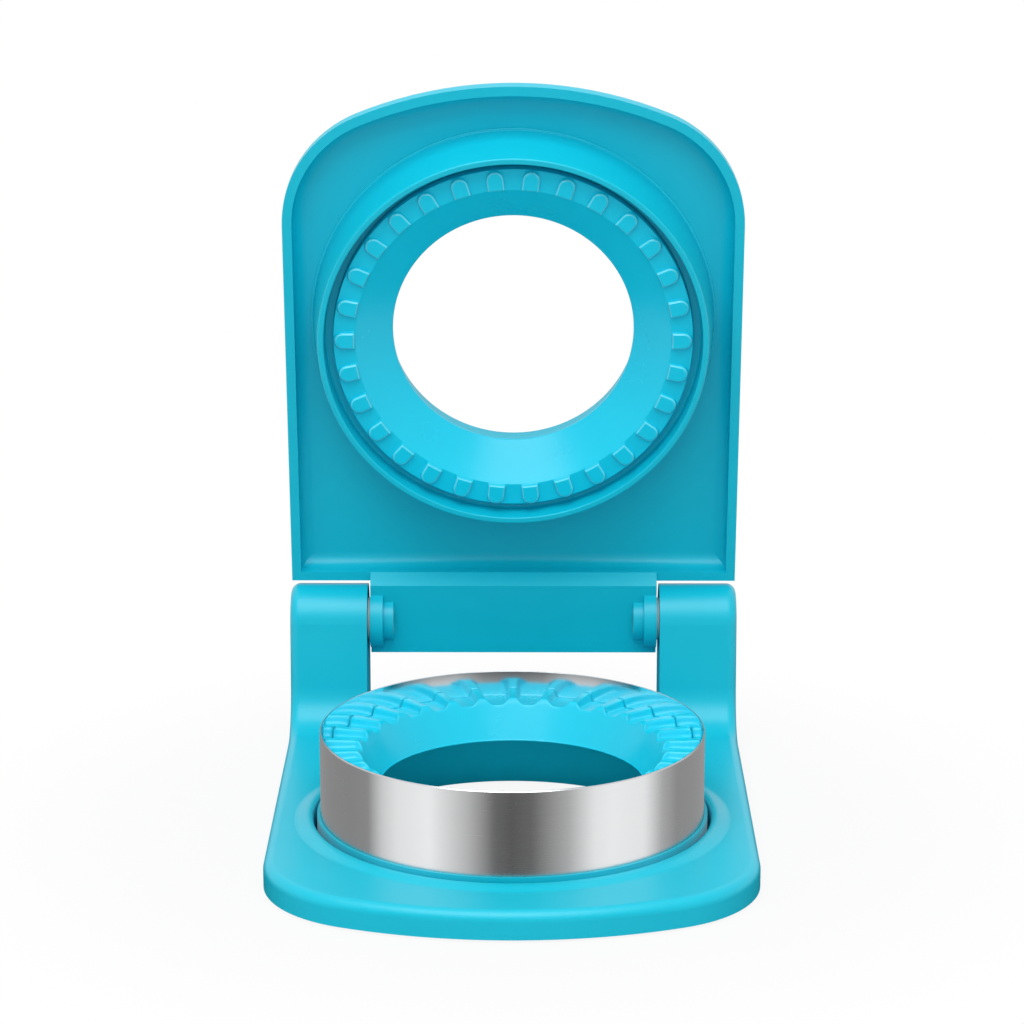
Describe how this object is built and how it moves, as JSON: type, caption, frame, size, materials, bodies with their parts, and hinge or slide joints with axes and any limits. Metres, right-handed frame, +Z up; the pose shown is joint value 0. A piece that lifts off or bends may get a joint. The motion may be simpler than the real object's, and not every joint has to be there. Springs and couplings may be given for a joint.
{
  "type": "sandwich cutter and sealer",
  "caption": "Hinged hand press for round sealed sandwiches: a steel cutting band on a flat base, and a lid with a pressing collar, crimping teeth and a round window.",
  "frame": {"origin": "on the table, under the middle of the base plate's width and depth", "axes": "+Z up, +X to the right seen from the front, +Y from the bowed front towards the hinge towers; drawn with the lid open as in the picture"},
  "size_m": [0.1156, 0.1542, 0.1755],
  "materials": {
    "blue_plastic": "satin moulded",
    "ring_steel": "fine brushed",
    "pin_steel": "ground",
    "screw_steel": "plated",
    "foot_rubber": "matt",
    "white_nylon": "plain"
  },
  "bodies": {
    "base": {"base_shell": "blue_plastic", "base_cover": "blue_plastic", "base_screws": "screw_steel", "front_left_foot": "foot_rubber", "front_right_foot": "foot_rubber", "rear_left_foot": "foot_rubber", "rear_right_foot": "foot_rubber", "ring_carrier": "blue_plastic", "cutter_ring": "ring_steel", "lower_crimp_ring": "blue_plastic", "core_screws": "screw_steel", "crimp_screws": "screw_steel", "hinge_pin_left": "pin_steel", "hinge_pin_right": "pin_steel", "pin_cap_left": "blue_plastic", "pin_cap_right": "blue_plastic", "side_washer_left": "white_nylon", "side_washer_right": "white_nylon"},
    "lid": {"lid_shell": "blue_plastic", "press_collar": "blue_plastic", "upper_crimp_ring": "blue_plastic", "window_ring": "blue_plastic", "hinge_bush_left": "white_nylon", "hinge_bush_right": "white_nylon", "lid_screws": "screw_steel"}
  },
  "joints": [
    {"name": "lid_hinge", "type": "hinge", "parent": "base", "child": "lid", "pos_m": [0, 0.06788, 0.0328], "axis": [1, 0, 0], "range_deg": [-20, 80]}
  ]
}
